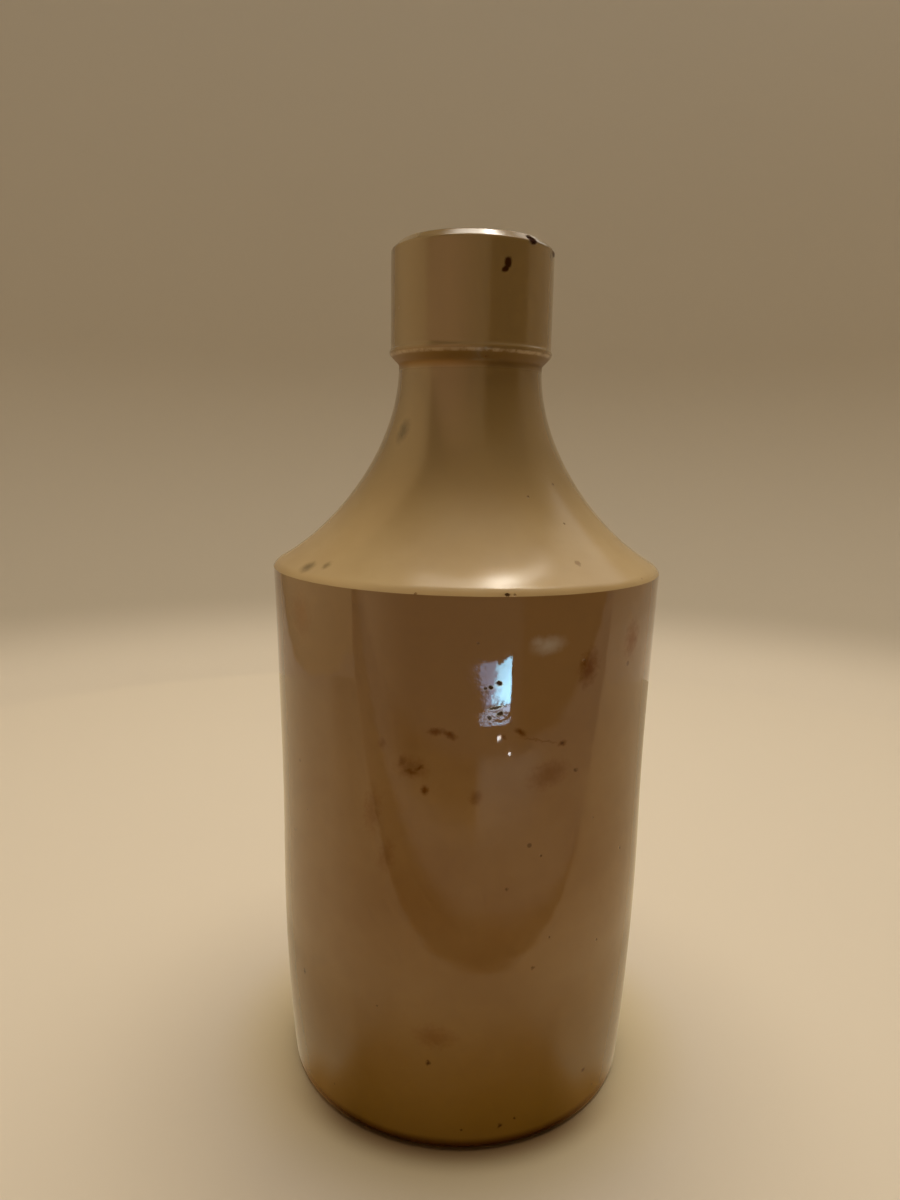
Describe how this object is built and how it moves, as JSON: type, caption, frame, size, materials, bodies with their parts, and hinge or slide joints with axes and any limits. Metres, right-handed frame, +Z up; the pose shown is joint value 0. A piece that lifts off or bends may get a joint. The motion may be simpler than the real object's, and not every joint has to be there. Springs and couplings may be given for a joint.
{
  "type": "stoneware bottle",
  "caption": "Upright cylindrical glazed stoneware bottle with a crisp shoulder, a concave tapering neck, a plain banded lip collar and a cork stopper that lifts out.",
  "frame": {"origin": "middle of the base, on the surface the bottle stands on", "axes": "+Z up along the bottle's axis; X and Y are free because the bottle is round, and -Y is the side the picture shows"},
  "size_m": [0.079, 0.079, 0.171],
  "materials": {
    "body_glaze": "glossy buff glaze with specks and stains",
    "neck_glaze": "glossy buff glaze, a little yellower than the body",
    "cork": "bare aged cork with small pores"
  },
  "bodies": {
    "bottle": {"body_pot": "body_glaze", "shoulder_neck": "neck_glaze", "lip_collar": "neck_glaze"},
    "cork": {"cork_stopper": "cork"}
  },
  "joints": [
    {"name": "cork_pull", "type": "slide", "parent": "bottle", "child": "cork", "axis": [0, 0, 1], "range_m": [0, 0.04]}
  ]
}
